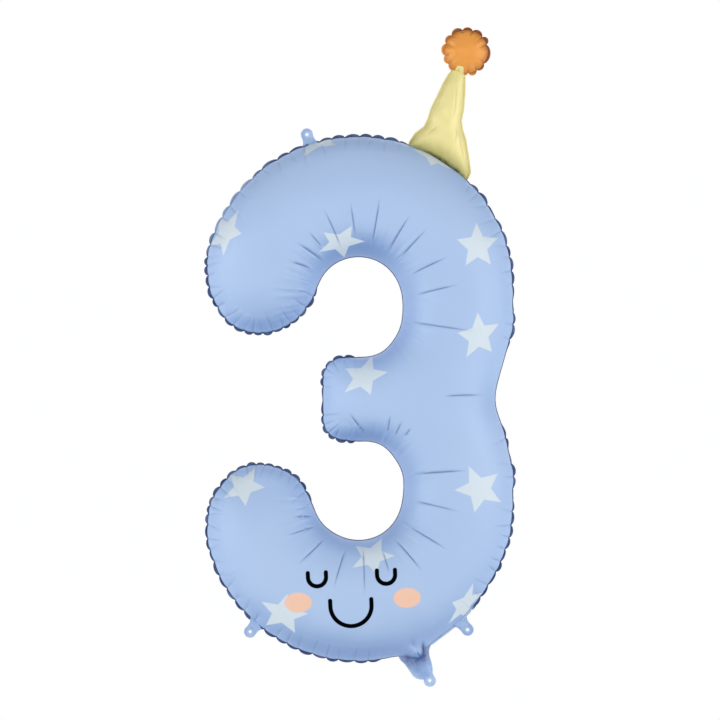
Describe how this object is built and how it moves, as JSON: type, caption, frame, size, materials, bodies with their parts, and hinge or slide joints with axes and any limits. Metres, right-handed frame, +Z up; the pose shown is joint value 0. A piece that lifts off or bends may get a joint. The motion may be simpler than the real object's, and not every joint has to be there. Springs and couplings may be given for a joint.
{
  "type": "foil number balloon",
  "caption": "Inflated foil balloon shaped as the digit 3 with a sleeping smiley face, stars, a party hat with a pompom, hanging eyelets and a filling neck.",
  "frame": {"origin": "middle of the box round the balloon, at the height of its lowest point, the eyelet tab of the filling neck, in the weld plane between the front and back films", "axes": "+Z up along the digit's height, +Y from the printed front to the back, +X to the right of a person who reads the digit"},
  "size_m": [0.4244, 0.1344, 0.8995],
  "materials": {
    "digit_print_film": "satin pearl foil, pale blue, printed with off-white stars and a sleeping smiling face",
    "digit_film": "satin pearl foil, pale blue, printed with off-white stars",
    "weld_film": "flat welded foil edge, deeper blue, crimped",
    "hat_film": "satin pearl foil, pale yellow",
    "hat_weld": "flat welded foil edge, yellow",
    "pompom_film": "satin pearl foil, orange",
    "pompom_weld": "flat welded foil edge, deep orange",
    "neck_film": "satin pearl foil, pale blue, slack and creased",
    "valve_strip": "thin translucent polyethylene strip",
    "tab_film": "flat welded foil, pale blue"
  },
  "bodies": {
    "number": {"number_front_film": "digit_print_film", "number_back_film": "digit_film", "number_seam": "weld_film"},
    "hat": {"hat_front_film": "hat_film", "hat_back_film": "hat_film", "hat_seam": "hat_weld"},
    "pompom": {"pompom_front_film": "pompom_film", "pompom_back_film": "pompom_film", "pompom_seam": "pompom_weld"},
    "neck": {"neck_front_film": "neck_film", "neck_back_film": "neck_film", "valve_back_film": "valve_strip"},
    "valve_flap": {"valve_front_film": "valve_strip"},
    "neck_tab": {"neck_tab": "tab_film"},
    "hanging_tab_top": {"hanging_tab_top": "tab_film"},
    "hanging_tab_left": {"hanging_tab_left": "tab_film"},
    "hanging_tab_right": {"hanging_tab_right": "tab_film"}
  },
  "joints": [
    {"name": "hat_fold", "type": "hinge", "parent": "number", "child": "hat", "pos_m": [0.11035, 0, 0.72214], "axis": [0.8572, 0, -0.515], "range_deg": [-25, 25], "stiffness_Nm_per_rad": 0.05},
    {"name": "pompom_fold", "type": "hinge", "parent": "hat", "child": "pompom", "pos_m": [0.1335, 0, 0.8354], "axis": [0.9659, 0, -0.2588], "range_deg": [-30, 30], "stiffness_Nm_per_rad": 0.01},
    {"name": "neck_fold", "type": "hinge", "parent": "number", "child": "neck", "pos_m": [0.07403, 0, 0.04864], "axis": [-0.9354, 0, -0.3535], "range_deg": [-25, 25], "stiffness_Nm_per_rad": 0.02},
    {"name": "valve_open", "type": "slide", "parent": "neck", "child": "valve_flap", "axis": [0, -1, 0], "range_m": [0, 0.0012], "stiffness_N_per_m": 5},
    {"name": "neck_tab_fold", "type": "hinge", "parent": "neck", "child": "neck_tab", "pos_m": [0.09161, 0, 0.01626], "axis": [-0.9354, 0, -0.3535], "range_deg": [-60, 60], "stiffness_Nm_per_rad": 0.001},
    {"name": "top_tab_fold", "type": "hinge", "parent": "number", "child": "hanging_tab_top", "pos_m": [-0.0701, 0, 0.74375], "axis": [0.9527, 0, 0.304], "range_deg": [-60, 60], "stiffness_Nm_per_rad": 0.001},
    {"name": "left_tab_fold", "type": "hinge", "parent": "number", "child": "hanging_tab_left", "pos_m": [-0.1435, 0, 0.08387], "axis": [-0.7683, 0, 0.6401], "range_deg": [-60, 60], "stiffness_Nm_per_rad": 0.001},
    {"name": "right_tab_fold", "type": "hinge", "parent": "number", "child": "hanging_tab_right", "pos_m": [0.13723, 0, 0.08831], "axis": [-0.7604, 0, -0.6494], "range_deg": [-60, 60], "stiffness_Nm_per_rad": 0.001}
  ]
}
